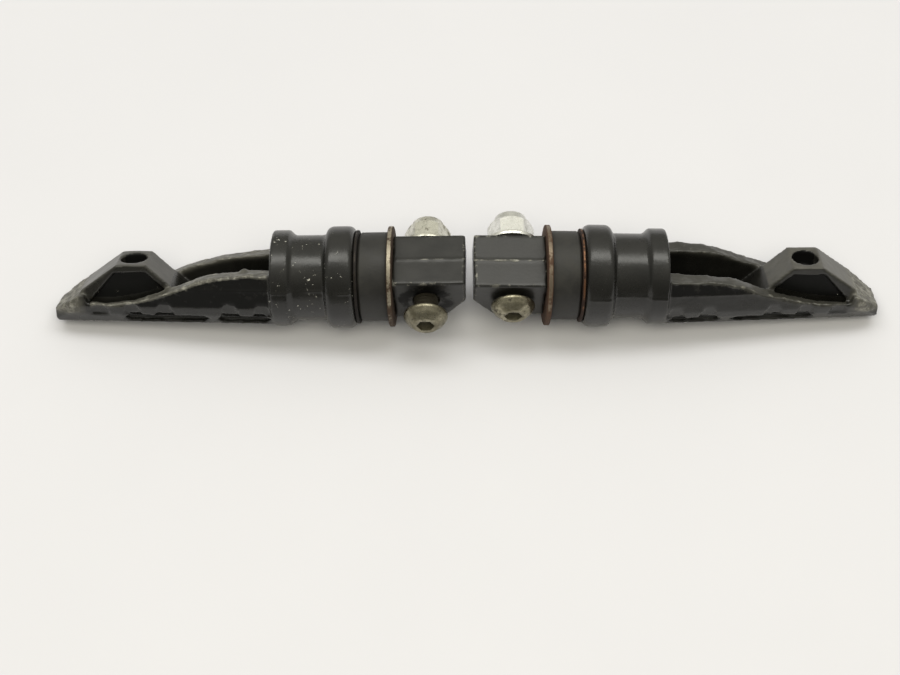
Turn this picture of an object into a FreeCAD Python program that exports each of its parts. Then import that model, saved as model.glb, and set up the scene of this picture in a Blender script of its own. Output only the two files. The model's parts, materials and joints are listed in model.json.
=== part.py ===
import FreeCAD, Part

import math
import os
import re

import Sketcher
from FreeCAD import Placement, Rotation, Vector

# A pair of folding motorcycle footpegs, lying on a bench with their treads down and their hinge
# tongues end to end. Each peg is built along +X from the free end of its tongue, with its pivot
# bolt along Y, and is then laid in the shared frame. The left peg is the right one turned about Z.

# Driving dimensions, in millimetres and degrees.
SIZES = {
    # how the two pegs lie
    "tongue_gap": 2.1,
    "shift_right": 0.6,
    "left_shift_back": -1.515,
    "right_shift_back": -0.985,
    "bench_lift": 0.003,
    "left_lie_roll": 1.5,
    "right_lie_roll": -3.5,
    "left_yaw": 0.8,
    "right_yaw": 0.9,
    "left_casting_lean": 34.5,
    "right_casting_lean": 29.0,
    # hinge block: square tongue, round spigot
    "tongue_side": 18.8,
    "tongue_length": 22.9,
    "tongue_round": 0.6,
    "tongue_nip_height": 9.0,
    "tongue_nip_length": 6.9,
    "pivot_setback": 12.6,
    "pivot_clearance": 0.08,
    "spigot_diameter": 16.0,
    "spigot_entry": 9.0,
    "spigot_clearance": 0.1,
    "tapped_depth": 14.0,
    "thread_clearance": 0.05,
    # washers, bush and collar round the spigot
    "outer_washer_diameter": 32.2,
    "outer_washer_thickness": 1.6,
    "bush_diameter": 28.4,
    "bush_length": 9.4,
    "bush_edge": 0.8,
    "collar_wall": 2.4,
    "bush_clearance": 0.1,
    "inner_washer_diameter": 30.0,
    "inner_washer_thickness": 1.0,
    # hub of the casting
    "bead_diameter": 32.6,
    "bead_length": 9.4,
    "bead_round": 2.4,
    "groove_diameter": 27.2,
    "groove_length": 10.1,
    "ring_diameter": 30.6,
    "ring_length": 7.0,
    "ring_slope": 1.7,
    "ring_round": 0.7,
    "web_thickness": 7.0,
    "screw_hole_clearance": 0.3,
    "counterbore_clearance": 0.25,
    # body of the casting
    "body_length": 71.0,
    "root_half_width": 13.4,
    "tip_half_width": 8.0,
    "rim_height": 5.4,
    "rim_draft": 1.0,
    "parting_height": 0.6,
    "strip_top": -5.6,
    "strip_bottom": -8.3,
    "strip_inset": 1.1,
    "tread_level": -12.2,
    "tread_inset": 4.2,
    "rim_fall_start": 5.5,
    "rim_fall_length": 50.5,
    "rim_low": -4.6,
    "tip_step": 1.0,
    "tip_block_height": -2.0,
    "tip_slope_length": 8.4,
    "tip_top": -7.4,
    "tip_corner_length": 5.0,
    "tip_corner_width": 3.2,
    "left_tip_wear": 0.0,
    "right_tip_wear": 1.2,
    "trough_floor": -8.0,
    "trough_length": 59.5,
    "trough_half_width": 6.8,
    # lug with the hole for a bank feeler
    "lug_top_start": 40.3,
    "lug_top_length": 9.4,
    "lug_height": 7.5,
    "lug_inner_run": 15.6,
    "lug_toe": 61.9,
    "lug_toe_height": -1.0,
    "lug_width": 13.2,
    "lug_web": 10.4,
    "lug_plate": 2.6,
    "lug_leg": 2.8,
    "feeler_hole_diameter": 8.5,
    "feeler_hole_depth": 5.2,
    # notches along the sides, grooves across the tread, slots under the sides
    "notch_first": 3.0,
    "notch_pitch": 10.6,
    "notch_foot": 6.6,
    "notch_head": 3.0,
    "notch_reach": 6.5,
    "notch_depth": 0.8,
    "tread_groove_width": 3.6,
    "tread_groove_depth": 1.2,
    "tread_groove_margin": 1.2,
    "slot_start": 0.6,
    "slot_rib_start": 18.2,
    "slot_rib_width": 2.6,
    "slot_end": 48.5,
    "slot_height": 4.0,
    "slot_edge": 0.5,
    "slot_depth": 2.0,
    # clamp screw inside the hub
    "clamp_screw_diameter": 8.0,
    "clamp_screw_length": 22.0,
    "cap_diameter": 13.0,
    "cap_height": 8.0,
    "cap_socket": 6.0,
    "cap_socket_depth": 4.0,
    "clamp_washer_diameter": 13.1,
    "clamp_washer_thickness": 1.6,
    # pivot bolt and flanged lock nut
    "bolt_diameter": 8.0,
    "bolt_length": 30.0,
    "button_diameter": 14.0,
    "button_height": 4.4,
    "button_rim": 0.9,
    "button_crown": 8.0,
    "button_socket": 5.0,
    "button_socket_depth": 2.8,
    "left_head_gap": 5.3,
    "right_head_gap": 1.4,
    "left_nut_gap": 0.3,
    "right_nut_gap": 1.1,
    "nut_across_flats": 13.0,
    "nut_height": 10.6,
    "nut_hex_top": 7.6,
    "nut_flange_diameter": 17.4,
    "nut_flange_edge": 1.1,
    "nut_flange_rise": 1.5,
    "nut_crown_diameter": 10.6,
    "nut_bevel": 1.1,
}

# Places along a peg, measured from the free end of its tongue.
BUSH_START = "(tongue_length + outer_washer_thickness)"
BUSH_END = f"({BUSH_START} + bush_length)"
HUB_START = f"({BUSH_END} + inner_washer_thickness)"
GROOVE_START = f"({HUB_START} + bead_length)"
RING_START = f"({GROOVE_START} + groove_length)"
HUB_END = f"({RING_START} + ring_length)"
BODY_END = f"({HUB_END} + body_length)"
SPIGOT_END = f"({HUB_START} + spigot_entry - spigot_clearance)"
WEB_START = f"({HUB_START} + spigot_entry)"
WEB_END = f"({WEB_START} + web_thickness)"

# Radii that one piece takes from another.
BORE_RADIUS = "(bolt_diameter / 2 + pivot_clearance)"
SPIGOT_HOLE_RADIUS = "(spigot_diameter / 2 + spigot_clearance)"
COLLAR_RADIUS = f"({SPIGOT_HOLE_RADIUS} + collar_wall)"
SCREW_HOLE_RADIUS = "(clamp_screw_diameter / 2 + screw_hole_clearance)"

HANDS = {"right": 1, "left": -1}

doc = FreeCAD.newDocument("footpegs")


def make_sheet():
    """The spreadsheet of driving dimensions: names in column A, values in column B."""
    sizes = doc.addObject("Spreadsheet::Sheet", "Sizes")
    for row, (alias, value) in enumerate(SIZES.items(), start=1):
        sizes.set(f"A{row}", alias)
        sizes.set(f"B{row}", str(value))
        sizes.setAlias(f"B{row}", alias)
    doc.recompute()
    return sizes


sheet = make_sheet()


def bound(formula):
    """A formula in plain size names as an expression that reads the sheet."""
    return re.sub(r"[a-z]\w*", lambda word: f"Sizes.{word[0]}" if word[0] in SIZES else word[0], formula)


def measure(formula):
    """The present value of a formula."""
    return float(sheet.evalExpression(bound(formula)))


def plane_of(body, role):
    return next(feature for feature in body.Origin.OriginFeatures if feature.Role == role)


def new_body(label):
    body = doc.addObject("PartDesign::Body", label)
    body.Label = label
    return body


def new_sketch(body, name, role, offset="0"):
    """A sketch on one of the body's own origin planes, lifted along the plane's normal."""
    sketch = body.newObject("Sketcher::SketchObject", name)
    sketch.AttachmentSupport = [(plane_of(body, role), "")]
    sketch.MapMode = "FlatFace"
    sketch.setExpression("AttachmentOffset.Base.z", bound(offset))
    return sketch


def bind(sketch, kind, references, formula):
    """A dimension of a sketch, tied to the sheet."""
    index = sketch.addConstraint(Sketcher.Constraint(kind, *references, measure(formula)))
    sketch.setExpression(f"Constraints[{index}]", bound(formula))


def pin(sketch, curve, end, place):
    """Hold one end of a curve at a place given by two formulas."""
    bind(sketch, "DistanceX", (-1, 1, curve, end), place[0])
    bind(sketch, "DistanceY", (-1, 1, curve, end), place[1])


def draw_loop(sketch, corners):
    """A closed outline. A corner is (x, y), or (x, y, centre, turn) where an arc leads to it."""
    places = [Vector(measure(corner[0]), measure(corner[1]), 0) for corner in corners]
    curves = []
    for index, corner in enumerate(corners):
        start, end = places[index - 1], places[index]
        if len(corner) == 2:
            curve = sketch.addGeometry(Part.LineSegment(start, end), False)
            curves.append((curve, 1, 2))
            continue
        centre = Vector(measure(corner[2][0]), measure(corner[2][1]), 0)
        angles = [math.atan2((point - centre).y, (point - centre).x) for point in (start, end)]
        turns_left = corner[3] > 0
        circle = Part.Circle(centre, Vector(0, 0, 1), (start - centre).Length)
        arc = Part.ArcOfCircle(circle, *(angles if turns_left else angles[::-1]))
        curve = sketch.addGeometry(arc, False)
        curves.append((curve, 1, 2) if turns_left else (curve, 2, 1))
        pin(sketch, curve, 3, corner[2])
    for index, (curve, start, end) in enumerate(curves):
        before, _, before_end = curves[index - 1]
        sketch.addConstraint(Sketcher.Constraint("Coincident", before, before_end, curve, start))
        if len(corners[index]) == 2:
            pin(sketch, curve, end, corners[index])
        else:
            bind(sketch, "DistanceX", (-1, 1, curve, end), corners[index][0])


def draw_circle(sketch, centre, radius):
    place = Vector(measure(centre[0]), measure(centre[1]), 0)
    curve = sketch.addGeometry(Part.Circle(place, Vector(0, 0, 1), measure(radius)), False)
    pin(sketch, curve, 3, centre)
    bind(sketch, "Radius", (curve,), radius)


def hexagon(across_flats):
    """Corners of a hexagon about the origin, with two flats level."""
    corner = f"({across_flats} / sqrt(3))"
    flat = f"({across_flats} / 2)"
    half = f"({corner} / 2)"
    return [
        (corner, "0"), (half, flat), (f"-{half}", flat),
        (f"-{corner}", "0"), (f"-{half}", f"-{flat}"), (half, f"-{flat}"),
    ]


def turned(body, name, corners, kind="Revolution"):
    """A feature turned about the X axis from an outline of (x, radius) corners."""
    sketch = new_sketch(body, f"{name}_outline", "XY_Plane")
    draw_loop(sketch, corners)
    feature = body.newObject(f"PartDesign::{kind}", name)
    feature.Profile = sketch
    feature.ReferenceAxis = (sketch, ["H_Axis"])
    feature.Angle = 360
    return feature


def extruded(body, kind, name, sketch, length, both_ways=False, reverse=False):
    """A Pad or a Pocket of a sketch. A pocket runs against its sketch's normal unless reversed."""
    feature = body.newObject(f"PartDesign::{kind}", name)
    feature.Profile = sketch
    feature.setExpression("Length", bound(length))
    if both_ways:
        feature.SideType = "Symmetric"
    feature.Reversed = reverse
    return feature


def rounded(body, name, base, edges, radius):
    """A fillet on the edges of the last feature that a test picks out."""
    doc.recompute()
    names = [f"Edge{index}" for index, edge in enumerate(base.Shape.Edges, start=1) if edges(edge)]
    feature = body.newObject("PartDesign::Fillet", name)
    feature.Base = (base, names)
    feature.setExpression("Radius", bound(radius))
    return feature


def is_circle(edge, radius):
    return isinstance(edge.Curve, Part.Circle) and abs(edge.Curve.Radius - radius) < 1e-4


def make_hinge_block(label):
    """Forged block: a square tongue for the bracket, and a spigot that the peg is clamped on."""
    body = new_body(label)
    half = "tongue_side / 2"
    side_view = new_sketch(body, f"{label}_side_view", "XZ_Plane")
    draw_loop(side_view, [
        ("0", half), ("tongue_length", half), ("tongue_length", f"-{half}"),
        ("tongue_nip_length", f"-{half}"), ("0", f"tongue_nip_height - {half}"),
    ])
    tongue = extruded(body, "Pad", f"{label}_tongue", side_view, "tongue_side", both_ways=True)
    doc.recompute()
    shoulder = measure("tongue_length")
    rounded(
        body, f"{label}_edges", tongue,
        lambda edge: edge.CenterOfMass.x < shoulder - 0.01, "tongue_round",
    )
    spigot_ring = new_sketch(body, f"{label}_spigot_ring", "YZ_Plane", "tongue_length")
    draw_circle(spigot_ring, ("0", "0"), "spigot_diameter / 2")
    extruded(body, "Pad", f"{label}_spigot", spigot_ring, f"{SPIGOT_END} - tongue_length")
    tapped_ring = new_sketch(body, f"{label}_tapped_ring", "YZ_Plane", SPIGOT_END)
    draw_circle(tapped_ring, ("0", "0"), "clamp_screw_diameter / 2 + thread_clearance")
    extruded(body, "Pocket", f"{label}_tapped_hole", tapped_ring, "tapped_depth")
    bore_ring = new_sketch(body, f"{label}_bore_ring", "XZ_Plane")
    draw_circle(bore_ring, ("pivot_setback", "0"), BORE_RADIUS)
    extruded(body, "Pocket", f"{label}_pivot_bore", bore_ring, "tongue_side * 2", both_ways=True)
    return body


def make_ring(label, start, end, inner, outer, edge="0"):
    """A washer, bush or collar round the peg's axis, with its outer corner bevelled."""
    body = new_body(label)
    corners = [(start, inner), (start, outer)]
    if edge == "0":
        corners.append((end, outer))
    else:
        corners += [(f"{end} - {edge}", outer), (end, f"{outer} - {edge}")]
    corners.append((end, inner))
    turned(body, f"{label}_turned", corners)
    return body


def half_width(place):
    """Half the width of the casting's body at its parting line, some way out from the hub."""
    return f"(root_half_width - (root_half_width - tip_half_width) * ({place}) / body_length)"


def body_section(width):
    """Section of the casting's body: a drafted trough wall, a side strip and a bevelled tread."""
    right = [
        (f"{width} - rim_draft", "rim_height"),
        (width, "parting_height"),
        (width, "strip_top"),
        (f"{width} - strip_inset", "strip_bottom"),
        (f"{width} - tread_inset", "tread_level"),
    ]
    return right + [(f"-({across})", up) for across, up in reversed(right)]


def side_plane(side, level, inset, tilt, depth):
    """Placement of a sketch laid on the tapering side of the body and sunk into it by a depth.

    Its X axis runs out along the peg and its Y axis up the side, which leans out by tilt."""
    taper = math.atan2(SIZES["root_half_width"] - SIZES["tip_half_width"], SIZES["body_length"])
    along = Vector(math.cos(taper), -side * math.sin(taper), 0)
    outward = Vector(-side * -math.sin(taper), side * math.cos(taper), 0)
    up = outward * math.sin(tilt) + Vector(0, 0, math.cos(tilt))
    normal = along.cross(up)
    sink = outward * math.cos(tilt) - Vector(0, 0, math.sin(tilt))
    corner = Vector(measure(HUB_END), side * (SIZES["root_half_width"] - inset), level)
    return Placement(corner - sink * depth, Rotation(along, up, normal, "XYZ"))


def side_sketch(body, name, place):
    """A sketch at a placement of its own, hung from the body's XZ plane."""
    sketch = new_sketch(body, name, "XZ_Plane")
    sketch.setExpression("AttachmentOffset.Base.z", None)
    sketch.AttachmentOffset = Placement(Vector(), Rotation(Vector(1, 0, 0), 90)).inverse() * place
    return sketch


def notch_places():
    """Middles of the side notches, out from the hub. The smooth panel takes the place of one."""
    panel = 2
    count = 6
    return [f"(notch_first + {index} * notch_pitch)" for index in range(count) if index != panel]


def cut_side(body, label, side):
    """Notches and long slots along one side of the casting's body."""
    word = "near" if side < 0 else "far"
    strip_tilt = math.atan2(SIZES["strip_inset"], SIZES["strip_top"] - SIZES["strip_bottom"])
    place = side_plane(side, SIZES["strip_bottom"], SIZES["strip_inset"], strip_tilt, SIZES["notch_depth"])
    notches = side_sketch(body, f"{label}_{word}_notches", place)
    for middle in notch_places():
        draw_loop(notches, [
            (f"{middle} - notch_foot / 2", "-notch_depth"), (f"{middle} + notch_foot / 2", "-notch_depth"),
            (f"{middle} + notch_head / 2", "notch_reach"), (f"{middle} - notch_head / 2", "notch_reach"),
        ])
    extruded(body, "Pocket", f"{label}_{word}_notch_cut", notches, "root_half_width", reverse=side < 0)
    bevel_tilt = math.atan2(
        SIZES["tread_inset"] - SIZES["strip_inset"], SIZES["strip_bottom"] - SIZES["tread_level"]
    )
    place = side_plane(side, SIZES["strip_bottom"], SIZES["strip_inset"], bevel_tilt, SIZES["slot_depth"])
    slots = side_sketch(body, f"{label}_{word}_slots", place)
    low, high, middle = "-(slot_edge + slot_height)", "-slot_edge", "-(slot_edge + slot_height / 2)"
    ends = [("slot_start", "slot_rib_start"), ("slot_rib_start + slot_rib_width", "slot_end")]
    for start, end in ends:
        draw_loop(slots, [
            (start, middle), (f"{start} + slot_height / 2", low), (f"{end} - slot_height / 2", low),
            (end, middle), (f"{end} - slot_height / 2", high), (f"{start} + slot_height / 2", high),
        ])
    extruded(body, "Pocket", f"{label}_{word}_slot_cut", slots, "slot_depth * 2", reverse=side < 0)


def make_hub(body, label):
    """Turned hub: a rounded bead, a groove and a ring, bored for the spigot and the clamp screw."""
    counterbore = "(cap_diameter / 2 + counterbore_clearance)"
    hub = turned(body, f"{label}_hub", [
        (HUB_START, SPIGOT_HOLE_RADIUS), (HUB_START, "bead_diameter / 2"),
        (GROOVE_START, "bead_diameter / 2"), (GROOVE_START, "groove_diameter / 2"),
        (RING_START, "groove_diameter / 2"), (f"{RING_START} + ring_slope", "ring_diameter / 2"),
        (HUB_END, "ring_diameter / 2"), (HUB_END, counterbore), (WEB_END, counterbore),
        (WEB_END, SCREW_HOLE_RADIUS), (WEB_START, SCREW_HOLE_RADIUS), (WEB_START, SPIGOT_HOLE_RADIUS),
    ])
    bead, ring = measure("bead_diameter / 2"), measure("ring_diameter / 2")
    bead_edges = rounded(
        body, f"{label}_bead_round", hub, lambda edge: is_circle(edge, bead), "bead_round"
    )
    rounded(body, f"{label}_ring_round", bead_edges, lambda edge: is_circle(edge, ring), "ring_round")


def make_body_bar(body, label, wear):
    """Tapering bar that carries the tread, cut along its top by the falling rim and at its tip."""
    tip_end = f"({BODY_END} - {wear})"
    tip_width = half_width(f"body_length - {wear}")
    root = new_sketch(body, f"{label}_root_section", "YZ_Plane", HUB_END)
    draw_loop(root, body_section(half_width("0")))
    tip = new_sketch(body, f"{label}_tip_section", "YZ_Plane", tip_end)
    draw_loop(tip, body_section(tip_width))
    bar = body.newObject("PartDesign::AdditiveLoft", f"{label}_bar")
    bar.Profile = root
    bar.Sections = [tip]
    bar.Ruled = True
    fall = "((rim_height - rim_low) / 2)"
    run = "(rim_fall_length / 2)"
    bend = f"(({run} ^ 2 + {fall} ^ 2) / (2 * {fall}))"
    first, last = f"({HUB_END} + rim_fall_start)", f"({HUB_END} + rim_fall_start + rim_fall_length)"
    middle = (f"{first} + {run}", f"rim_height - {fall}")
    above, beyond = "rim_height + bead_round", f"{tip_end} + bead_round"
    block_start = f"({HUB_END} + trough_length + tip_step)"
    rim = new_sketch(body, f"{label}_rim_line", "XZ_Plane")
    draw_loop(rim, [
        (first, "rim_height"),
        (*middle, (first, f"rim_height - {bend}"), -1),
        (last, "rim_low", (last, f"rim_low + {bend}"), 1),
        (f"{block_start} - tip_step * 0.8", "rim_low"), (block_start, "tip_block_height"),
        (f"{tip_end} - tip_slope_length", "tip_block_height"),
        (tip_end, "tip_top"), (beyond, "tip_top"), (beyond, above), (first, above),
    ])
    extruded(body, "Pocket", f"{label}_rim_cut", rim, "root_half_width * 3", both_ways=True)
    corners = new_sketch(body, f"{label}_tip_corners", "XY_Plane")
    for sign in ("", "-"):
        draw_loop(corners, [
            (f"{tip_end} - tip_corner_length", f"{sign}root_half_width"),
            (f"{tip_end} - tip_corner_length", f"{sign}{tip_width}"),
            (tip_end, f"{sign}({tip_width} - tip_corner_width)"),
            (beyond, f"{sign}({tip_width} - tip_corner_width)"), (beyond, f"{sign}root_half_width"),
        ])
    extruded(body, "Pocket", f"{label}_tip_cut", corners, "root_half_width * 4", both_ways=True)


def make_trough(body, label):
    """Parallel trough sunk between the rims, from the hub's face to the block at the tip."""
    far_end = f"{HUB_END} + trough_length"
    plan = new_sketch(body, f"{label}_trough_plan", "XY_Plane", "trough_floor")
    draw_loop(plan, [
        (HUB_END, "trough_half_width"), (HUB_END, "-trough_half_width"),
        (far_end, "-trough_half_width"), (far_end, "trough_half_width"),
    ])
    extruded(body, "Pocket", f"{label}_trough", plan, "rim_height * 2 - trough_floor", reverse=True)


def make_lug(body, label):
    """Bridge over the outer end of the trough, recessed along both sides and drilled for a feeler."""
    top_start = f"({HUB_END} + lug_top_start)"
    top_end = f"({top_start} + lug_top_length)"
    heel = f"({top_start} - lug_inner_run)"
    toe = f"({HUB_END} + lug_toe)"
    under = "(lug_height - lug_plate)"
    foot = "(trough_floor - lug_plate / 2)"
    outer_run = f"(({toe} - {top_end}) / (lug_height - lug_toe_height))"
    inner_run = "(lug_inner_run / (lug_height - trough_floor))"
    bridge = new_sketch(body, f"{label}_lug_side_view", "XZ_Plane")
    draw_loop(bridge, [
        (heel, "trough_floor"), (top_start, "lug_height"), (top_end, "lug_height"),
        (toe, "lug_toe_height"), (toe, foot), (f"{toe} - lug_leg", foot), (f"{toe} - lug_leg", "rim_low"),
        (f"{top_end} + {outer_run} * lug_plate - lug_leg", under),
        (f"{top_start} - {inner_run} * lug_plate + lug_leg", under),
        (f"{heel} + lug_leg", "trough_floor"), (f"{heel} + lug_leg", foot), (heel, foot),
    ])
    extruded(body, "Pad", f"{label}_lug", bridge, "lug_width", both_ways=True)
    web = new_sketch(body, f"{label}_lug_web_view", "XZ_Plane")
    web_top = "(lug_height - lug_plate / 2)"
    draw_loop(web, [
        (f"{heel} + lug_leg / 2", foot),
        (f"{top_start} + {inner_run} * ({web_top} - lug_height) + lug_leg / 2", web_top),
        (f"{top_end} + {outer_run} * (lug_height - {web_top}) - lug_leg / 2", web_top),
        (f"{toe} - lug_leg / 2", "rim_low"), (f"{toe} - lug_leg / 2", foot),
    ])
    extruded(body, "Pad", f"{label}_lug_web", web, "lug_web", both_ways=True)
    hole = new_sketch(body, f"{label}_feeler_ring", "XY_Plane", "lug_height")
    draw_circle(hole, (f"{top_start} + lug_top_length / 2", "0"), "feeler_hole_diameter / 2")
    extruded(body, "Pocket", f"{label}_feeler_hole", hole, "feeler_hole_depth")


def make_casting(label, wear):
    """Die-cast peg: turned hub, tapering body with a trough and a lug, notched sides and tread."""
    body = new_body(label)
    make_hub(body, label)
    make_body_bar(body, label, wear)
    make_trough(body, label)
    make_lug(body, label)
    for side in (-1, 1):
        cut_side(body, label, side)
    grooves = new_sketch(body, f"{label}_tread_grooves", "XY_Plane", "tread_level")
    for middle in notch_places():
        near, far = f"{middle} - tread_groove_width / 2", f"{middle} + tread_groove_width / 2"
        half = f"({half_width(middle)} - tread_inset - tread_groove_margin)"
        draw_loop(grooves, [
            (f"{HUB_END} + {near}", f"-{half}"), (f"{HUB_END} + {far}", f"-{half}"),
            (f"{HUB_END} + {far}", half), (f"{HUB_END} + {near}", half),
        ])
    extruded(body, "Pocket", f"{label}_tread_cut", grooves, "tread_groove_depth", reverse=True)
    return body


def make_clamp_screw(label):
    """Socket-head screw, reached through the trough, that clamps the peg to the spigot."""
    body = new_body(label)
    seat = f"({WEB_END} + clamp_washer_thickness)"
    turned(body, f"{label}_turned", [
        (f"{seat} - clamp_screw_length", "0"), (f"{seat} - clamp_screw_length", "clamp_screw_diameter / 2"),
        (seat, "clamp_screw_diameter / 2"), (seat, "cap_diameter / 2"),
        (f"{seat} + cap_height", "cap_diameter / 2"), (f"{seat} + cap_height", "0"),
    ])
    socket = new_sketch(body, f"{label}_socket_hexagon", "YZ_Plane", f"{seat} + cap_height")
    draw_loop(socket, hexagon("cap_socket"))
    extruded(body, "Pocket", f"{label}_socket", socket, "cap_socket_depth")
    return body


def make_pivot_bolt(label):
    """Button-head bolt along X, with the underside of its head at the origin."""
    body = new_body(label)
    turned(body, f"{label}_turned", [
        ("-button_height", "0"), ("-button_height", "button_crown / 2"),
        ("-(button_height + button_rim) / 2", "(button_diameter * 0.55 + button_crown * 0.45) / 2 * 1.06"),
        ("-button_rim", "button_diameter / 2"), ("0", "button_diameter / 2"), ("0", "bolt_diameter / 2"),
        ("bolt_length - nut_bevel", "bolt_diameter / 2"), ("bolt_length", "bolt_diameter / 2 - nut_bevel"),
        ("bolt_length", "0"),
    ])
    socket = new_sketch(body, f"{label}_socket_hexagon", "YZ_Plane", "-button_height")
    draw_loop(socket, hexagon("button_socket"))
    extruded(body, "Pocket", f"{label}_socket", socket, "button_socket_depth", reverse=True)
    return body


def make_pivot_nut(label):
    """Flanged lock nut along X, with its bearing face at the origin."""
    body = new_body(label)
    hexagon_plan = new_sketch(body, f"{label}_hexagon", "YZ_Plane")
    draw_loop(hexagon_plan, hexagon("nut_across_flats"))
    extruded(body, "Pad", f"{label}_flats", hexagon_plan, "nut_hex_top")
    turned(body, f"{label}_flange", [
        ("0", "0"), ("0", "nut_flange_diameter / 2"), ("nut_flange_edge", "nut_flange_diameter / 2"),
        ("nut_flange_edge + nut_flange_rise", "nut_across_flats / 2"), ("nut_hex_top", "nut_across_flats / 2"),
        ("nut_hex_top", "nut_crown_diameter / 2 + nut_bevel / 2"),
        ("(nut_hex_top + nut_height) / 2", "nut_crown_diameter / 2"),
        ("nut_height - nut_bevel / 2", "nut_crown_diameter / 2 - nut_bevel / 4"),
        ("nut_height", "nut_crown_diameter / 2 - nut_bevel * 3 / 4"), ("nut_height", "0"),
    ])
    turned(body, f"{label}_corner_bevel", [
        ("nut_hex_top - nut_bevel", "nut_across_flats"), ("nut_hex_top - nut_bevel", "nut_across_flats / sqrt(3)"),
        ("nut_hex_top", "nut_across_flats / 2"), ("nut_hex_top", "nut_across_flats"),
    ], kind="Groove")
    bore = new_sketch(body, f"{label}_bore_ring", "YZ_Plane")
    draw_circle(bore, ("0", "0"), "bolt_diameter / 2 + thread_clearance")
    extruded(body, "Pocket", f"{label}_bore", bore, "nut_height", reverse=True)
    return body


def settle_angle(side):
    """How far a peg's tip dips so that bead and tread tip both touch the bench."""
    lean = math.radians(SIZES[f"{side}_casting_lean"] + SIZES[f"{side}_lie_roll"])
    wear = f"{side}_tip_wear"
    corner = measure(f"{half_width(f'body_length - {wear}')} - tread_inset")
    tread_reach = -SIZES["tread_level"] * math.cos(lean) + corner * math.sin(lean)
    lift = SIZES["bead_diameter"] / 2 - tread_reach
    span = measure(f"{BODY_END} - {wear} - {GROOVE_START} + bead_round")
    return math.degrees(math.atan2(lift, span))


def peg_frame(side):
    """Placement of one peg's own frame in the shared frame."""
    hand = HANDS[side]
    roll = SIZES[f"{side}_lie_roll"]
    dip = settle_angle(side)
    turn = Rotation(Vector(0, 0, 1), 0 if hand > 0 else 180)
    turn = turn * Rotation(Vector(0, 0, 1), hand * SIZES[f"{side}_yaw"])
    turn = turn * Rotation(Vector(0, 1, 0), dip)
    turn = turn * Rotation(Vector(1, 0, 0), -hand * roll)
    dip = math.radians(dip)
    bead_place = measure(f"{GROOVE_START} - bead_round")
    height = SIZES["bead_diameter"] / 2 * math.cos(dip) + bead_place * math.sin(dip)
    height += SIZES["bench_lift"]
    along = SIZES["shift_right"] + hand * SIZES["tongue_gap"] / 2
    return Placement(Vector(along, SIZES[f"{side}_shift_back"], height), turn)


def across_peg(side, back):
    """Placement in a peg's frame on its pivot axis, some way back of the middle, with +X backwards."""
    hand = HANDS[side]
    return Placement(
        Vector(SIZES["pivot_setback"], hand * back, 0), Rotation(Vector(0, 0, 1), hand * 90)
    )


def make_peg(side):
    """All the pieces of one peg, laid in the shared frame."""
    frame = peg_frame(side)
    lean = Placement(Vector(), Rotation(Vector(1, 0, 0), -HANDS[side] * SIZES[f"{side}_casting_lean"]))
    half = SIZES["tongue_side"] / 2
    at_head = across_peg(side, -half - SIZES[f"{side}_head_gap"])
    at_nut = across_peg(side, half + SIZES[f"{side}_nut_gap"])
    pieces = {
        "hinge_block": (make_hinge_block, (), Placement()),
        "outer_washer": (
            make_ring, ("tongue_length", BUSH_START, SPIGOT_HOLE_RADIUS, "outer_washer_diameter / 2"),
            Placement(),
        ),
        "bush_collar": (make_ring, (BUSH_START, BUSH_END, SPIGOT_HOLE_RADIUS, COLLAR_RADIUS), Placement()),
        "damper_bush": (
            make_ring,
            (BUSH_START, BUSH_END, f"{COLLAR_RADIUS} + bush_clearance", "bush_diameter / 2", "bush_edge"),
            Placement(),
        ),
        "inner_washer": (
            make_ring, (BUSH_END, HUB_START, SPIGOT_HOLE_RADIUS, "inner_washer_diameter / 2"), Placement(),
        ),
        "footpeg_casting": (make_casting, (f"{side}_tip_wear",), lean),
        "clamp_washer": (
            make_ring,
            (WEB_END, f"({WEB_END} + clamp_washer_thickness)", SCREW_HOLE_RADIUS, "clamp_washer_diameter / 2"),
            Placement(),
        ),
        "clamp_screw": (make_clamp_screw, (), lean),
        "pivot_bolt": (make_pivot_bolt, (), at_head),
        "pivot_nut": (make_pivot_nut, (), at_nut),
    }
    made = []
    for name, (maker, sizes, place) in pieces.items():
        body = maker(f"{side}_{name}", *sizes)
        body.Placement = frame * place
        made.append(body)
    return made


nodes = [body for side in HANDS for body in make_peg(side)]
doc.recompute()

for thing in doc.Objects:
    if {"Invalid", "Error"} & set(thing.State):
        raise RuntimeError(f"{thing.Name} failed: {thing.State}")
for node in nodes:
    if node.Shape.isNull() or not node.Shape.isValid() or len(node.Shape.Solids) != 1:
        raise RuntimeError(f"{node.Label} is not one sound solid")

os.makedirs("parts", exist_ok=True)
for node in nodes:
    node.Shape.exportStep(f"parts/{node.Label}.step")
    print(f"{node.Label}: {node.Shape.Volume:.1f} mm3")
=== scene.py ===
import json
import math
from types import SimpleNamespace

import bmesh
import bpy
import numpy as np
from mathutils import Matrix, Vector, kdtree, noise


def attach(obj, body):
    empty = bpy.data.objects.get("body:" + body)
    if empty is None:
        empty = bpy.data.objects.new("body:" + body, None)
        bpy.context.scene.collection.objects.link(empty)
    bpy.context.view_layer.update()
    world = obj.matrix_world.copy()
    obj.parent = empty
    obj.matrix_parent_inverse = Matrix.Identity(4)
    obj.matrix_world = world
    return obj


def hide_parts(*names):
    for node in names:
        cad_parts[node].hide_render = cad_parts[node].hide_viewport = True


MM = 0.001

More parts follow.
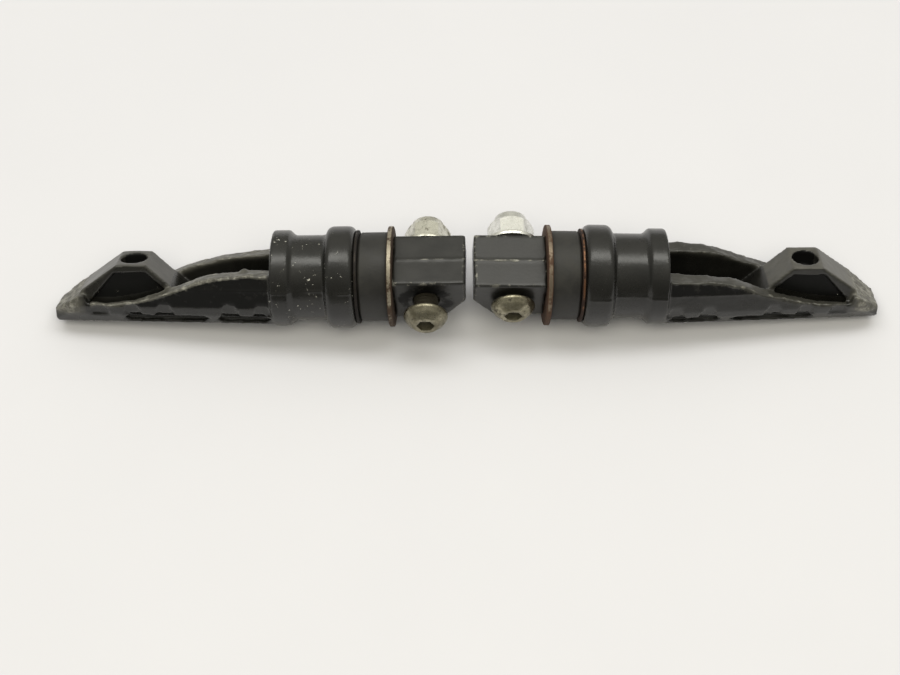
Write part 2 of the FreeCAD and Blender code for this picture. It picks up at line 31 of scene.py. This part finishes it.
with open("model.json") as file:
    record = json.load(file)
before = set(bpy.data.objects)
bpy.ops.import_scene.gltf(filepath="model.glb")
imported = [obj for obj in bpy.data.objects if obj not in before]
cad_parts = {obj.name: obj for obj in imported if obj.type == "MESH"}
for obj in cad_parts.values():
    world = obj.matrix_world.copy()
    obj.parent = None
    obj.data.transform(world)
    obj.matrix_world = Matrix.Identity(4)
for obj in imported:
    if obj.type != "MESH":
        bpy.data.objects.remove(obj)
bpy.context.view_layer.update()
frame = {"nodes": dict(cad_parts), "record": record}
scene = bpy.context.scene
mounts = {m["name"]: m for m in frame["record"]["mounts"]}


# Places on a peg, in millimetres. A peg's own frame runs out along its axis from the tongue's free end.
PIVOT_SETBACK = 12.6
TONGUE_END, TONGUE_FACE, TONGUE_FRONT = 22.2, 8.2, -8.5
HUB_START, HUB_END = 34.9, 61.4
HUB_SKIN_RADIUS = 12.8
RIM_FALL_START, RIM_FALL_LENGTH, RIM_END = HUB_END + 5.5, 50.5, 120.0
RIM_HIGH, RIM_LOW = 5.4, -4.6
TROUGH_EDGE = 6.0
ROOT_HALF_WIDTH, TIP_HALF_WIDTH, BODY_LENGTH = 13.4, 8.0, 71.0
TIP_LENGTH, TIP_FADE = 11.0, 4.0
PARTING = 0.6
STRIP_TOP = -5.6
WALL_DRAFT = 0.35
LUG_START, LUG_END, LUG_HALF_WIDTH, LUG_FLANK = 84.0, 123.0, 7.3, 6.0
CRUMBS_END, CRUMBS_HEIGHT = 110.0, 3.5
BURR_PLACE, BURR_RADIUS = (HUB_END + 8.7, 7.9), 1.3
THREAD_PITCH, THREAD_DEPTH, BOLT_RADIUS = 1.25, 0.6, 4.0
BOLT_HEAD_RADIUS, SOCKET_RADIUS, SOCKET_DEPTH = 6.9, 3.0, 3.6
HEAD_BEVEL, WASHER_BEVEL, BUSH_BEVEL, NUT_BEVEL, HIDDEN_BEVEL = 0.3, 0.3, 0.25, 0.45, 0.2

# Faces that meet at more than this many degrees keep a sharp line between them
SMOOTH_ANGLE = 40


def unit(v):
    return np.asarray(v, float) / np.linalg.norm(v)


def peg_frames(side):
    """Origins and axes of a peg's casting and of its tongue, in metres."""
    pivot = np.array(mounts[f"{side}_hinge_tongue"]["pos_m"])
    back = unit(mounts[f"{side}_hinge_tongue"]["axis"])
    feeler = np.array(mounts[f"{side}_feeler_hole"]["pos_m"])
    up = unit(mounts[f"{side}_feeler_hole"]["axis"])
    out = feeler - pivot
    out = unit(out - up * (out @ up))
    origin = pivot - out * PIVOT_SETBACK * MM
    casting = (origin, np.array([out, np.cross(up, out), up]))
    top = unit(np.cross(out, back)) * (1 if side == "right" else -1)
    tongue = (origin, np.array([out, back, top]))
    return {"casting": casting, "tongue": tongue, "pivot": pivot, "back": back}


FRAMES = {side: peg_frames(side) for side in ("left", "right")}


def coordinates(mesh):
    co = np.zeros(len(mesh.vertices) * 3)
    mesh.vertices.foreach_get("co", co)
    return co.reshape(-1, 3)


def local_mm(points, place):
    origin, axes = place
    return (points - origin) @ axes.T / MM


def keep_attribute(mesh, name, values):
    attribute = mesh.attributes.new(name, "FLOAT", "POINT")
    attribute.data.foreach_set("value", np.ascontiguousarray(values, np.float32))


def skin(node):
    """A welded copy of a CAD node that is shown in its place."""
    source = frame["nodes"][node]
    mesh = source.data.copy()
    mesh.name = f"{node}_skin"
    mesh.materials.clear()
    bm = bmesh.new()
    bm.from_mesh(mesh)
    bmesh.ops.remove_doubles(bm, verts=bm.verts, dist=1e-6)
    bm.to_mesh(mesh)
    bm.free()
    obj = bpy.data.objects.new(f"{node}_skin", mesh)
    scene.collection.objects.link(obj)
    return obj


def settle(obj):
    """Turn an object's modifiers into its mesh."""
    bpy.context.view_layer.update()
    evaluated = obj.evaluated_get(bpy.context.evaluated_depsgraph_get())
    mesh = bpy.data.meshes.new_from_object(evaluated)
    obj.modifiers.clear()
    old = obj.data
    obj.data = mesh
    bpy.data.meshes.remove(old)
    return obj


def sharp_points(mesh, angle=0.5, step=0.4 * MM):
    """Points along the edges of a mesh where its faces turn sharply outwards."""
    bm = bmesh.new()
    bm.from_mesh(mesh)
    points = []
    for edge in bm.edges:
        if len(edge.link_faces) == 2 and edge.calc_face_angle_signed(0) > angle:
            a, b = (v.co for v in edge.verts)
            count = max(1, int((b - a).length / step))
            points += [a.lerp(b, i / count) for i in range(count + 1)]
    bm.free()
    tree = kdtree.KDTree(len(points))
    for index, point in enumerate(points):
        tree.insert(point, index)
    tree.balance()
    return tree


def edge_distance(mesh, tree):
    """Distance in millimetres from each vertex to the nearest sharp edge, up to a limit."""
    return np.array([min(tree.find(v.co)[2] / MM, 9.0) for v in mesh.vertices])


def rim_level(s):
    """Height of the trough's rim some way along a peg."""
    t = np.clip((s - RIM_FALL_START) / RIM_FALL_LENGTH, 0, 1)
    smooth = np.where(t < 0.5, 2 * t * t, 1 - 2 * (1 - t) ** 2)
    return RIM_HIGH + (RIM_LOW - RIM_HIGH) * smooth


def fbm(points, scale, octaves, seed):
    """Smooth noise at each point, around nought."""
    shift = Vector((seed, seed * 1.7, -seed))
    return np.array([
        noise.fractal(Vector(p) * scale + shift, 0.9, 2.1, octaves) for p in points
    ])


def remesh(obj, voxel):
    """Rebuild a piece from small voxels, which softens its edges a little."""
    modifier = obj.modifiers.new("Remesh", "REMESH")
    modifier.mode = "VOXEL"
    modifier.voxel_size = voxel * MM
    soften = obj.modifiers.new("Soften", "SMOOTH")
    soften.factor = 0.5
    soften.iterations = 1
    return settle(obj)


def normals_of(mesh):
    out = np.zeros(len(mesh.vertices) * 3)
    mesh.vertices.foreach_get("normal", out)
    return out.reshape(-1, 3)


def move(mesh, points):
    mesh.vertices.foreach_set("co", np.ascontiguousarray(points, np.float32).ravel())
    mesh.update()


def shade_smooth(obj, angle=None):
    mesh = obj.data
    mesh.polygons.foreach_set("use_smooth", [True] * len(mesh.polygons))
    if angle is not None:
        mesh.set_sharp_from_angle(angle=math.radians(angle))


def finish_piece(obj, node, body, material):
    """Give a piece its material, tie it to its body and hide the CAD node that it stands for."""
    obj.data.materials.clear()
    obj.data.materials.append(material)
    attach(obj, body)
    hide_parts(node)
    return obj


# Materials

class Shader:
    """A material and short ways to add nodes to it."""

    def __init__(self, name):
        self.material = bpy.data.materials.new(name)
        self.material.use_nodes = True
        self.tree = self.material.node_tree
        self.bsdf = self.tree.nodes["Principled BSDF"]

    def node(self, kind, **settings):
        node = self.tree.nodes.new(kind)
        for key, value in settings.items():
            setattr(node, key, value)
        return node

    def feed(self, socket, value):
        if isinstance(value, bpy.types.NodeSocket):
            self.tree.links.new(value, socket)
        else:
            socket.default_value = value

    def coordinates(self):
        return self.node("ShaderNodeTexCoord").outputs["Object"]

    def attribute(self, name):
        return self.node("ShaderNodeAttribute", attribute_name=name).outputs["Fac"]

    def noise(self, scale, detail=4.0, roughness=0.55):
        node = self.node("ShaderNodeTexNoise")
        self.feed(node.inputs["Vector"], self.coordinates())
        node.inputs["Scale"].default_value = scale
        node.inputs["Detail"].default_value = detail
        node.inputs["Roughness"].default_value = roughness
        return node.outputs["Fac"]

    def math(self, operation, a, b):
        node = self.node("ShaderNodeMath", operation=operation)
        self.feed(node.inputs[0], a)
        self.feed(node.inputs[1], b)
        return node.outputs[0]

    def step(self, value, low, high, top=1.0):
        node = self.node("ShaderNodeMapRange", interpolation_type="SMOOTHSTEP")
        self.feed(node.inputs["Value"], value)
        node.inputs["From Min"].default_value = low
        node.inputs["From Max"].default_value = high
        node.inputs["To Max"].default_value = top
        return node.outputs["Result"]

    def mix(self, factor, a, b):
        node = self.node("ShaderNodeMix", data_type="RGBA")
        self.feed(node.inputs["Factor"], factor)
        self.feed(node.inputs["A"], (*a, 1.0) if isinstance(a, tuple) else a)
        self.feed(node.inputs["B"], (*b, 1.0) if isinstance(b, tuple) else b)
        return node.outputs["Result"]

    def blend(self, factor, a, b):
        node = self.node("ShaderNodeMix", data_type="FLOAT")
        self.feed(node.inputs["Factor"], factor)
        self.feed(node.inputs["A"], a)
        self.feed(node.inputs["B"], b)
        return node.outputs["Result"]

    def bump(self, height, distance, strength):
        node = self.node("ShaderNodeBump")
        self.feed(node.inputs["Height"], height)
        node.inputs["Distance"].default_value = distance
        node.inputs["Strength"].default_value = strength
        self.tree.links.new(node.outputs["Normal"], self.bsdf.inputs["Normal"])

    def set(self, **values):
        for key, value in values.items():
            socket = self.bsdf.inputs[key.replace("_", " ")]
            self.feed(socket, (*value, 1.0) if isinstance(value, tuple) else value)


def black_paint(name, chip_level, glossiest, dullest):
    """Satin black paint over aluminium, dusty in places, chipped at edges and worn along rims."""
    s = Shader(name)
    cloud = s.noise(90, 5, 0.6)
    fine = s.noise(900, 3, 0.6)
    base = s.mix(s.step(cloud, 0.35, 0.75), (0.0026, 0.0026, 0.0023), (0.0065, 0.0062, 0.0054))
    patchy = s.step(s.noise(170, 6, 0.68), 0.25, 0.72)
    dusty = s.math("MULTIPLY", s.attribute("dust"), s.blend(patchy, 0.45, 1.0))
    base = s.mix(dusty, base, (0.135, 0.13, 0.112))
    # Darker, duller paint where an attribute says: painted shade in the lug's recess, painted shade with
    # sooty blotches round the left tongue's bolt head, and darker, less glossy sides below the rim.
    shade_and_soot = s.step(s.math("MULTIPLY", s.attribute("shade_and_soot"), s.noise(240, 5, 0.7)), 0.34, 0.5)
    base = s.mix(shade_and_soot, base, (0.002, 0.002, 0.0018))
    worn_edge = s.math(
        "MULTIPLY", s.step(s.attribute("edge"), 0.6, 0.1),
        s.step(s.noise(330, 5, 0.72), chip_level, chip_level + 0.08, 0.9),
    )
    rim = s.math("MULTIPLY", s.attribute("rim"), 1.1)
    worn_rim = s.step(s.math("ADD", rim, s.noise(260, 7, 0.72)), 1.16, 1.6, 0.85)
    specks = s.step(s.math("MULTIPLY", s.noise(720, 4, 0.8), s.attribute("speck")), 0.66, 0.69)
    bare = s.math("MAXIMUM", worn_edge, worn_rim)
    metal = s.mix(s.step(s.noise(420, 5, 0.7), 0.4, 0.72), (0.095, 0.092, 0.08), (0.36, 0.352, 0.31))
    s.set(
        Base_Color=s.mix(specks, s.mix(bare, base, metal), (0.62, 0.61, 0.56)),
        Metallic=s.math("MULTIPLY", bare, 0.5),
        Roughness=s.blend(
            s.math("MAXIMUM", s.math("MAXIMUM", bare, dusty), shade_and_soot),
            s.blend(s.step(cloud, 0.3, 0.8), glossiest, dullest), 0.55,
        ),
        Specular_IOR_Level=s.blend(shade_and_soot, 0.5, 0.25),
    )
    height = s.math("ADD", s.math("MULTIPLY", fine, 0.25), s.math("MULTIPLY", bare, s.noise(800, 4, 0.7)))
    s.bump(height, 0.00022, 0.5)
    return s.material


def rubber():
    """Black rubber of the damper bushes, greyish in patches."""
    s = Shader("bush_rubber")
    cloud = s.noise(120, 6, 0.65)
    s.set(
        Base_Color=s.mix(s.step(cloud, 0.35, 0.75), (0.009, 0.0085, 0.0075), (0.024, 0.023, 0.020)),
        Roughness=s.blend(s.step(cloud, 0.3, 0.7), 0.5, 0.66),
    )
    s.bump(s.noise(1500, 3), 0.0001, 0.4)
    return s.material


def rusty_steel(name, dark, light, steel):
    """Rusty steel that is rubbed bare where the attribute "rim" says; on the washers that attribute also
    puts more bare steel towards the top as painted light.
    """
    s = Shader(name)
    patch = s.step(s.math("MULTIPLY", s.noise(260, 6, 0.7), s.attribute("rim")), 0.43, 0.56)
    rust = s.mix(s.noise(700, 4, 0.7), dark, light)
    s.set(
        Base_Color=s.mix(patch, rust, steel),
        Metallic=s.blend(patch, 0.25, 0.8),
        Roughness=s.blend(patch, 0.75, 0.42),
    )
    s.bump(s.noise(1400, 4, 0.7), 0.0002, 0.5)
    return s.material


def zinc(name, bright, dull, shade_and_dirt, grime):
    """Zinc plating, bright and dull in patches, soiled in spots, and darkened where an attribute says: on
    the bolts that is painted shade with grime in the hex socket and on the shank.
    """
    s = Shader(name)
    patch = s.step(s.noise(230, 6, 0.68), 0.40, 0.66)
    plate = s.mix(patch, bright, dull)
    # Soiled spots, and painted shade with grime where the attribute says
    soil_and_shade = s.math("MAXIMUM", s.attribute("shade_and_dirt"), s.step(s.noise(420, 6, 0.72), 0.5, 0.7, grime))
    s.set(
        Base_Color=s.mix(soil_and_shade, plate, shade_and_dirt),
        Metallic=s.blend(soil_and_shade, 0.95, 0.1),
        Roughness=s.blend(soil_and_shade, s.blend(patch, 0.24, 0.42), 0.75),
        Specular_IOR_Level=s.blend(soil_and_shade, 0.5, 0.1),
    )
    s.bump(s.noise(1300, 4, 0.7), 0.00012, 0.45)
    return s.material


# Colour of soiled spots on the bolts, and of the painted shade in their sockets and along their shanks
ZINC_DIRT_AND_SHADE = (0.014, 0.012, 0.009)
MATERIALS = {
    "casting": black_paint("casting_paint", 0.56, 0.22, 0.34),
    "tongue": black_paint("tongue_paint", 0.53, 0.30, 0.43),
    "rubber": rubber(),
    "left_outer_washer": rusty_steel(
        "left_washer_rust", (0.012, 0.007, 0.004), (0.075, 0.043, 0.024), (0.32, 0.285, 0.22)
    ),
    "right_outer_washer": rusty_steel(
        "right_washer_rust", (0.02, 0.010, 0.006), (0.11, 0.056, 0.03), (0.19, 0.15, 0.11)
    ),
    # The inner washers sit in the dark gap between bush and bead: their near-black colours are painted
    # shade, with orange rust patches on the right one.
    "left_inner_washer": rusty_steel(
        "left_washer_painted_shade", (0.004, 0.0035, 0.003), (0.014, 0.01, 0.008), (0.03, 0.025, 0.02)
    ),
    "right_inner_washer": rusty_steel(
        "right_washer_shade_and_rust", (0.005, 0.004, 0.003), (0.04, 0.015, 0.007), (0.17, 0.085, 0.045)
    ),
    "left_bolt": zinc("left_bolt_zinc", (0.27, 0.25, 0.185), (0.14, 0.127, 0.086), ZINC_DIRT_AND_SHADE, 0.9),
    "right_bolt": zinc("right_bolt_zinc", (0.33, 0.305, 0.225), (0.17, 0.155, 0.105), ZINC_DIRT_AND_SHADE, 0.9),
    "left_nut": zinc("left_nut_zinc", (0.66, 0.65, 0.57), (0.44, 0.43, 0.37), (0.06, 0.052, 0.036), 0.9),
    "right_nut": zinc("right_nut_zinc", (0.80, 0.80, 0.76), (0.60, 0.60, 0.56), (0.16, 0.15, 0.12), 0.45),
}


# How worn each casting is: its rim and the rim's outer brink, dust on rim and lug, specks on the hub,
# the height of a burr on the rim, how far down its sides are made darker and less glossy, and a seed for
# its lumps
CASTING_WEAR = {
    "left": {
        "rim": 0.66, "brink": 0.8, "rim_dust": 0.6, "lug_dust": 0.28, "specks": 0.88, "most_specks": 1.03,
        "burr": 1.1, "darker_down_to": STRIP_TOP + 0.4, "seed": 3.0,
    },
    "right": {
        "rim": 0.36, "brink": 0.34, "rim_dust": 0.25, "lug_dust": 0.5, "specks": 0.4, "most_specks": 0.9,
        "burr": 0.0, "darker_down_to": PARTING, "seed": 9.0,
    },
}


def casting_zones(place, seed):
    """The parts of a casting, each as a weight on its vertices."""
    s, across, up = place.T
    reach = np.abs(across)
    level = rim_level(s)
    half = ROOT_HALF_WIDTH - (ROOT_HALF_WIDTH - TIP_HALF_WIDTH) * (s - HUB_END) / BODY_LENGTH
    body = np.clip((s - HUB_END - 0.2) / 0.8, 0, 1)
    rim = np.exp(-((up - level) / 1.0) ** 2) * body * (s < RIM_END)
    rim *= np.clip((reach - TROUGH_EDGE) / 0.6, 0, 1)
    tip = np.clip((s - (s.max() - TIP_LENGTH)) / TIP_FADE, 0, 1) * np.clip((up + 9.5) / 2.0, 0, 1)
    outside = np.where(s < HUB_END + 0.5, np.hypot(across, up) > HUB_SKIN_RADIUS, reach > half - 0.8)
    seam = np.exp(-((up - PARTING) / 0.32) ** 2) * outside * (level > PARTING + 1) * (s > HUB_START + 1)
    seam *= np.clip(0.75 + fbm(place, 0.25, 3, seed + 4), 0, 1)
    lug = (up > level + 0.9) * (reach < LUG_HALF_WIDTH) * (s > LUG_START) * (s < LUG_END)
    rough = fbm(place, 0.6, 4, seed + 1)
    return SimpleNamespace(
        reach=reach, level=level, half=half, body=body, rim=rim, tip=tip, seam=seam, lug=lug, rough=rough
    )


def shape_casting(points, normals, place, axes, zone, seed, burr_height):
    """Points of a casting with ragged rims, a burr, a parting ridge and a cast surface."""
    s, across, _ = place.T
    _, cross, rise = axes
    cast = fbm(place, 0.2, 3, seed + 5) * zone.body
    swell = zone.rim * zone.rough * 0.09 + zone.tip * zone.rough * 0.22 + cast * 0.06 + zone.seam * 0.18
    lumps = fbm(place, 0.1, 2, seed) * 0.75
    from_burr = np.hypot(s - BURR_PLACE[0], zone.reach - BURR_PLACE[1])
    front = across * cross[1] < 0
    burr = np.exp(-from_burr ** 2 / BURR_RADIUS ** 2) * front * burr_height
    lip = np.clip(fbm(place, 0.3, 3, seed + 2), 0, 1) * zone.rim * 0.8
    lip *= np.clip((zone.reach - zone.half + 2.2) / 1.2, 0, 1)
    points = points + normals * (swell * MM)[:, None]
    points += np.outer(zone.rim * (lumps + burr) * MM, rise)
    points += np.outer(np.sign(across) * lip * MM, cross)
    return points


def wear_casting(mesh, normals, place, axes, zone, wear, edges):
    """Attributes that tell the paint where a casting is worn, dusty, darkened and speckled; the darkening
    in the lug's recess is painted shade.
    """
    s, _, up = place.T
    _, cross, rise = axes
    sheltered = 1 - np.clip(zone.rim + zone.tip + zone.lug * 0.6 + 0.15, 0, 1)
    brink = zone.rim * np.exp(-((zone.reach - zone.half + 0.5) / 0.4) ** 2) * wear["brink"]
    worn = zone.rim * (wear["rim"] + 0.5 * zone.rough) + zone.tip * (1.15 + 0.4 * zone.rough)
    recess = zone.lug * (np.abs(normals @ cross) > 0.6) * (zone.reach < LUG_FLANK)
    lug_dust = zone.lug * (0.06 + wear["lug_dust"] * np.clip(normals @ rise, 0, 1))
    dust = np.clip(lug_dust + zone.rim * wear["rim_dust"] + zone.tip * 0.8 + 0.03, 0, 1)
    wall = zone.half - 0.45 - np.clip(up - PARTING, 0, None) * WALL_DRAFT
    # Sides between the strip and the rim, which the paint makes darker and less glossy
    panel = zone.body * (zone.reach > wall) * (up > wear["darker_down_to"]) * (up < zone.level - 0.8)
    hub = (s < HUB_END + 1) * np.clip(fbm(place, 0.12, 2, 1.0) + wear["specks"], 0, wear["most_specks"])
    near_lug = zone.rim * (s > LUG_START) * (s < CRUMBS_END)
    crumbs = np.maximum(recess * (up < zone.level + CRUMBS_HEIGHT), near_lug) * 0.97
    keep_attribute(mesh, "edge", edge_distance(mesh, edges) + 2.0 * sheltered)
    keep_attribute(mesh, "rim", np.clip(worn + zone.seam * 0.55 + brink, 0, 1.5))
    keep_attribute(mesh, "dust", dust * (1 - recess))
    # Painted shade in the lug's recess; on the sides below the rim the paint is made darker and less
    # glossy.
    keep_attribute(mesh, "shade_and_soot", recess * 2.0 + panel * 1.1)
    keep_attribute(mesh, "speck", np.maximum(hub, crumbs))


def make_casting(side):
    """The die casting: softened edges, ragged rims, a parting ridge and a worn tip."""
    node = f"{side}_footpeg_casting"
    wear = CASTING_WEAR[side]
    obj = skin(node)
    edges = sharp_points(obj.data)
    remesh(obj, 0.5)
    mesh = obj.data
    points, normals = coordinates(mesh), normals_of(mesh)
    place = local_mm(points, FRAMES[side]["casting"])
    axes = FRAMES[side]["casting"][1]
    zone = casting_zones(place, wear["seed"])
    move(mesh, shape_casting(points, normals, place, axes, zone, wear["seed"], wear["burr"]))
    wear_casting(mesh, normals, place, axes, zone, wear, edges)
    shade_smooth(obj)
    return finish_piece(obj, node, "pegs", MATERIALS["casting"])


def make_tongue(side):
    """The square tongue: softened edges, a forging seam along two faces, and painted shade with sooty
    blotches round the left bolt.
    """
    node = f"{side}_hinge_block"
    obj = skin(node)
    tree = sharp_points(obj.data, 0.12)
    remesh(obj, 0.45)
    mesh = obj.data
    points = coordinates(mesh)
    place = local_mm(points, FRAMES[side]["tongue"])
    s, across, up = place.T
    seam = np.exp(-(across / 0.5) ** 2) * (np.abs(up) > TONGUE_FACE) * (s < TONGUE_END)
    wobble = fbm(place, 0.4, 3, 2.0)
    move(mesh, points + normals_of(mesh) * ((seam * (0.14 + 0.1 * wobble)) * MM)[:, None])
    keep_attribute(mesh, "edge", edge_distance(mesh, tree))
    seam_wear = 0.95 + 0.8 * wobble if side == "right" else 0.65 + 0.5 * wobble
    keep_attribute(mesh, "rim", seam * seam_wear)
    keep_attribute(mesh, "dust", np.full(len(s), 0.05))
    reach = np.hypot(s - PIVOT_SETBACK, up)
    if side == "left":
        # Darkening in a ring round the left bolt head: painted shade of the gap under the head, with
        # sooty blotches.
        keep_attribute(mesh, "shade_and_soot", (across < TONGUE_FRONT) * np.exp(-((reach - 6.5) / 4.0) ** 2))
    keep_attribute(mesh, "speck", np.full(len(s), 0.6))
    shade_smooth(obj)
    return finish_piece(obj, node, "pegs", MATERIALS["tongue"])


def bevel_edges(obj, width, segments, angle):
    """Round off the edges of a piece that turn by more than an angle in degrees."""
    bevel = obj.modifiers.new("Bevel", "BEVEL")
    bevel.width = width * MM
    bevel.segments = segments
    bevel.limit_method = "ANGLE"
    bevel.angle_limit = math.radians(angle)
    return settle(obj)


def bevelled(node, width, body, material):
    """A plain piece, shown with slightly rounded edges."""
    obj = bevel_edges(skin(node), width, 2, 30)
    shade_smooth(obj, SMOOTH_ANGLE)
    return finish_piece(obj, node, body, material)


def make_washer(side, piece):
    """A washer whose rim is rubbed bare along its middle and rusty at its edges, and lighter towards the
    top as painted light.
    """
    node = f"{side}_{piece}"
    obj = bevelled(node, WASHER_BEVEL, "pegs", MATERIALS[node])
    s, _, up = local_mm(coordinates(obj.data), FRAMES[side]["tongue"]).T
    middle = (s.min() + s.max()) / 2
    flat = (s.max() - s.min()) / 2 - WASHER_BEVEL
    # More bare steel towards the top and more dark rust below: painted light on the washer's top.
    bare = 0.86 + 0.24 * up / up.max()
    keep_attribute(obj.data, "rim", np.where(np.abs(s - middle) < flat + 0.08, bare, 0.55))


def thread_mesh(bm, start, end, frame_axes, origin, turn_steps=44, pitch_steps=6):
    """A screw thread about an axis, closed at both ends, added to a mesh."""
    axis, side_a, side_b = frame_axes
    rows = int((end - start) / THREAD_PITCH * pitch_steps)
    grid = []
    for row in range(rows + 1):
        along = start + (end - start) * row / rows
        ring = []
        for step in range(turn_steps):
            angle = 2 * math.pi * step / turn_steps
            phase = (along / THREAD_PITCH - step / turn_steps) % 1.0
            depth = THREAD_DEPTH * min(1.0, max(0.0, 1.35 - abs(2 * phase - 1) * 1.7))
            taper = max(0.0, along - end + 0.9) * 0.9
            radius = BOLT_RADIUS - max(depth, taper)
            spoke = side_a * math.cos(angle) + side_b * math.sin(angle)
            ring.append(bm.verts.new(Vector(origin + (axis * along + spoke * radius) * MM)))
        grid.append(ring)
    for low, high in zip(grid, grid[1:]):
        for step in range(turn_steps):
            after = (step + 1) % turn_steps
            bm.faces.new((low[step], low[after], high[after], high[step]))
    bm.faces.new(grid[-1])
    bm.faces.new(reversed(grid[0]))


def about_pivot(points, side):
    """Distances of points along a pivot bolt's axis and out from it."""
    pivot, back = FRAMES[side]["pivot"], FRAMES[side]["back"]
    along = (points - pivot) @ back / MM
    return along, np.linalg.norm(points - pivot - np.outer(along, back) * MM, axis=1) / MM


def make_bolt(side):
    """Pivot bolt: the head of the CAD bolt, on a threaded shank."""
    node = f"{side}_pivot_bolt"
    pivot, back = FRAMES[side]["pivot"], FRAMES[side]["back"]
    obj = skin(node)
    along, radius = about_pivot(coordinates(obj.data), side)
    under_head, end = along[radius > BOLT_HEAD_RADIUS].max(), along.max()
    bm = bmesh.new()
    bm.from_mesh(obj.data)
    shank = [f for f in bm.faces if max(along[v.index] for v in f.verts) > under_head + 0.5]
    bmesh.ops.delete(bm, geom=shank, context="FACES")
    bmesh.ops.holes_fill(bm, edges=[e for e in bm.edges if e.is_boundary], sides=0)
    bm.to_mesh(obj.data)
    bm.free()
    bevel_edges(obj, HEAD_BEVEL, 3, 25)
    bm = bmesh.new()
    bm.from_mesh(obj.data)
    side_a = unit(np.cross(back, [0.0, 0.0, 1.0]))
    thread_mesh(bm, under_head - 0.2, end, (back, side_a, np.cross(back, side_a)), pivot)
    bm.normal_update()
    bm.to_mesh(obj.data)
    bm.free()
    shade_smooth(obj, SMOOTH_ANGLE)
    finish_piece(obj, node, f"{side}_bolt", MATERIALS[f"{side}_bolt"])
    along, radius = about_pivot(coordinates(obj.data), side)
    depth = along - along.min()
    # Darkening inside the hex socket and along the shank under the head: painted shade, with grime.
    socket = (depth > 0.4) * (depth < SOCKET_DEPTH) * (radius < SOCKET_RADIUS)
    shank_shade_and_dirt = 0.95 if side == "left" else 0.6
    keep_attribute(obj.data, "shade_and_dirt", np.maximum(socket * 0.6, (along > under_head) * shank_shade_and_dirt))


for side in ("left", "right"):
    make_casting(side)
    make_tongue(side)
    bevelled(f"{side}_damper_bush", BUSH_BEVEL, "pegs", MATERIALS["rubber"])
    make_washer(side, "outer_washer")
    make_washer(side, "inner_washer")
    for piece in ("bush_collar", "clamp_washer", "clamp_screw"):
        bevelled(f"{side}_{piece}", HIDDEN_BEVEL, "pegs", MATERIALS["right_bolt"])
    make_bolt(side)
    bevelled(f"{side}_pivot_nut", NUT_BEVEL, f"{side}_bolt", MATERIALS[f"{side}_nut"])


# Stage

def make_floor():
    mesh = bpy.data.meshes.new("floor")
    size = 3.0
    corners = [(-size, -size, 0), (size, -size, 0), (size, size, 0), (-size, size, 0)]
    mesh.from_pydata(corners, [], [(0, 1, 2, 3)])
    floor = bpy.data.objects.new("floor", mesh)
    scene.collection.objects.link(floor)
    s = Shader("floor_cloth")
    s.set(Base_Color=s.mix(s.noise(14, 4), (0.585, 0.587, 0.635), (0.61, 0.612, 0.66)), Roughness=0.9)
    s.bsdf.inputs["Specular IOR Level"].default_value = 0.1
    mesh.materials.append(s.material)


def make_light(name, place, target, size, power, colour, mirrored=True):
    data = bpy.data.lights.new(name, "AREA")
    data.shape = "RECTANGLE"
    data.size, data.size_y = size
    data.energy = power
    data.color = colour
    light = bpy.data.objects.new(name, data)
    light.location = place
    light.rotation_mode = "QUATERNION"
    light.rotation_quaternion = (Vector(target) - Vector(place)).to_track_quat("-Z", "Y")
    light.visible_glossy = mirrored
    scene.collection.objects.link(light)


def make_world():
    """A dim room: lighter overhead, darkest towards the horizon in front."""
    world = bpy.data.worlds.new("studio")
    world.use_nodes = True
    tree = world.node_tree
    background = tree.nodes["Background"]
    split = tree.nodes.new("ShaderNodeSeparateXYZ")
    tree.links.new(tree.nodes.new("ShaderNodeTexCoord").outputs["Generated"], split.inputs[0])

    def ramp(output, low, high, start, end):
        node = tree.nodes.new("ShaderNodeMapRange")
        node.interpolation_type = "SMOOTHSTEP"
        tree.links.new(split.outputs[output], node.inputs["Value"])
        for name, value in (("From Min", low), ("From Max", high), ("To Min", start), ("To Max", end)):
            node.inputs[name].default_value = value
        return node.outputs["Result"]

    product = tree.nodes.new("ShaderNodeMath")
    product.operation = "MULTIPLY"
    tree.links.new(ramp("Z", 0.0, 0.9, 0.44, 0.88), product.inputs[0])
    tree.links.new(ramp("Y", -0.95, 0.3, 0.34, 1.0), product.inputs[1])
    tree.links.new(product.outputs[0], background.inputs["Strength"])
    background.inputs["Color"].default_value = (1.0, 0.98, 0.88, 1.0)
    scene.world = world


def make_camera():
    elevation = math.radians(58.5)
    target = Vector((-5.6, -10.2, 18.0)) * MM
    back = Vector((0, -math.cos(elevation), math.sin(elevation)))
    data = bpy.data.cameras.new("camera")
    data.sensor_width = 36.0
    data.lens = 76.0
    data.shift_y = -0.0428
    data.clip_start, data.clip_end = 0.01, 20.0
    camera = bpy.data.objects.new("camera", data)
    camera.location = target + back * 0.603
    camera.rotation_mode = "QUATERNION"
    camera.rotation_quaternion = (-back).to_track_quat("-Z", "Y")
    scene.collection.objects.link(camera)
    scene.camera = camera


make_floor()
make_world()
make_light("overhead", (0.0, 0.26, 1.1), (0, 0, 0), (1.6, 0.36), 7.9, (1.0, 0.99, 0.93))
make_light("fill", (0.0, -0.5, 1.05), (0, 0, 0), (1.2, 0.6), 7.4, (1.0, 0.95, 0.76), mirrored=False)
make_camera()
scene.view_settings.view_transform = "Standard"
